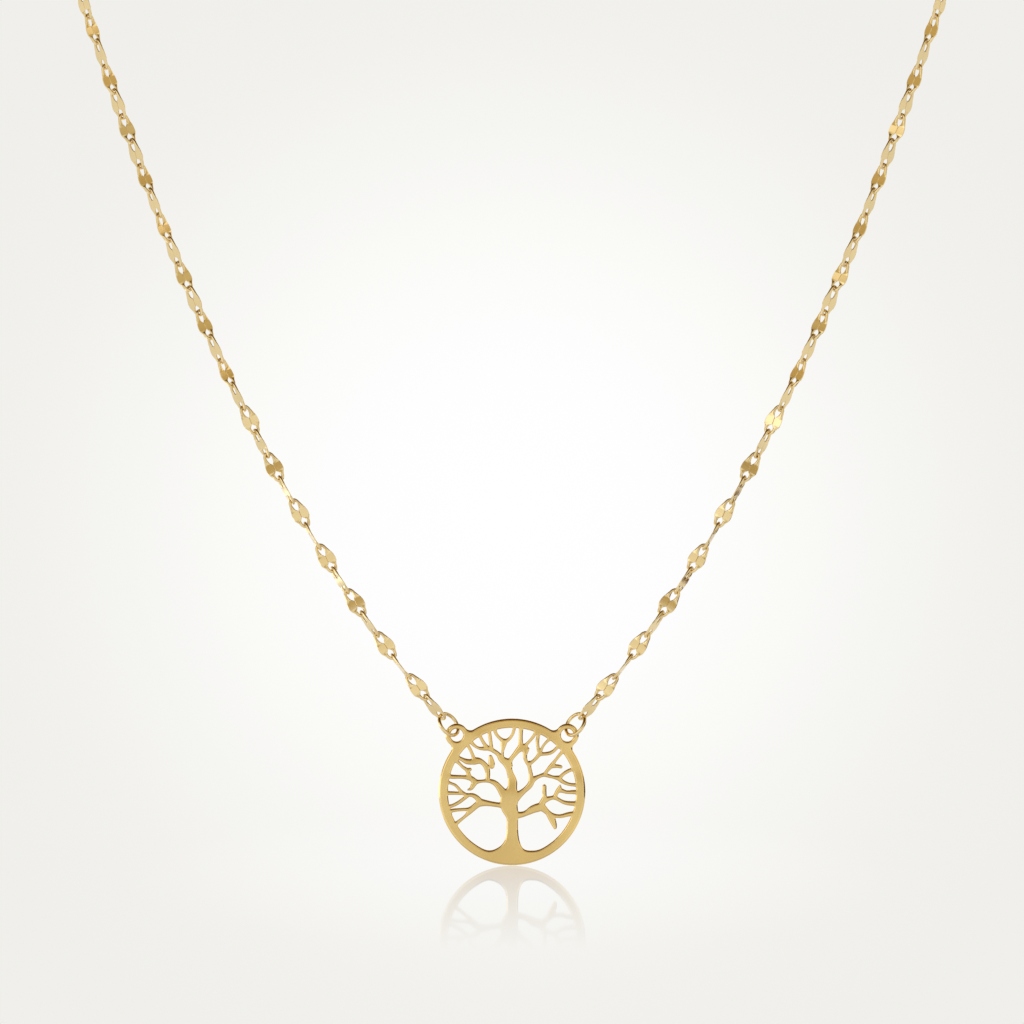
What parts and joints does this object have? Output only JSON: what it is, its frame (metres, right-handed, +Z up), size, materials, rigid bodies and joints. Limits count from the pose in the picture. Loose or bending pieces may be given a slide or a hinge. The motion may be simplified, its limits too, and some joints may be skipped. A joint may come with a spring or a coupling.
{
  "type": "tree of life pendant necklace",
  "caption": "Yellow gold necklace: a round pierced tree of life pendant hung by side lugs on a fine chain of pressed cable links.",
  "frame": {"origin": "centre of the clasp's line at the nape of the neck, where the chain rests", "axes": "+Z up, the pendant's front towards -Y, +X to the right in the picture"},
  "size_m": [0.11, 0.0876, 0.1266],
  "materials": {
    "gold": "polished",
    "chain_gold": "polished"
  },
  "bodies": {
    "chain": {"jump_ring_left": "gold", "jump_ring_right": "gold", "chain_left": "chain_gold", "chain_right": "chain_gold", "end_ring_left": "gold", "end_ring_right": "gold", "clasp": "gold"},
    "pendant": {"tree_pendant": "gold"}
  },
  "joints": [
    {"name": "pendant_swing", "type": "hinge", "parent": "chain", "child": "pendant", "pos_m": [0, -0.085, -0.11019], "axis": [1, 0, 0], "range_deg": [-15, 35]}
  ]
}
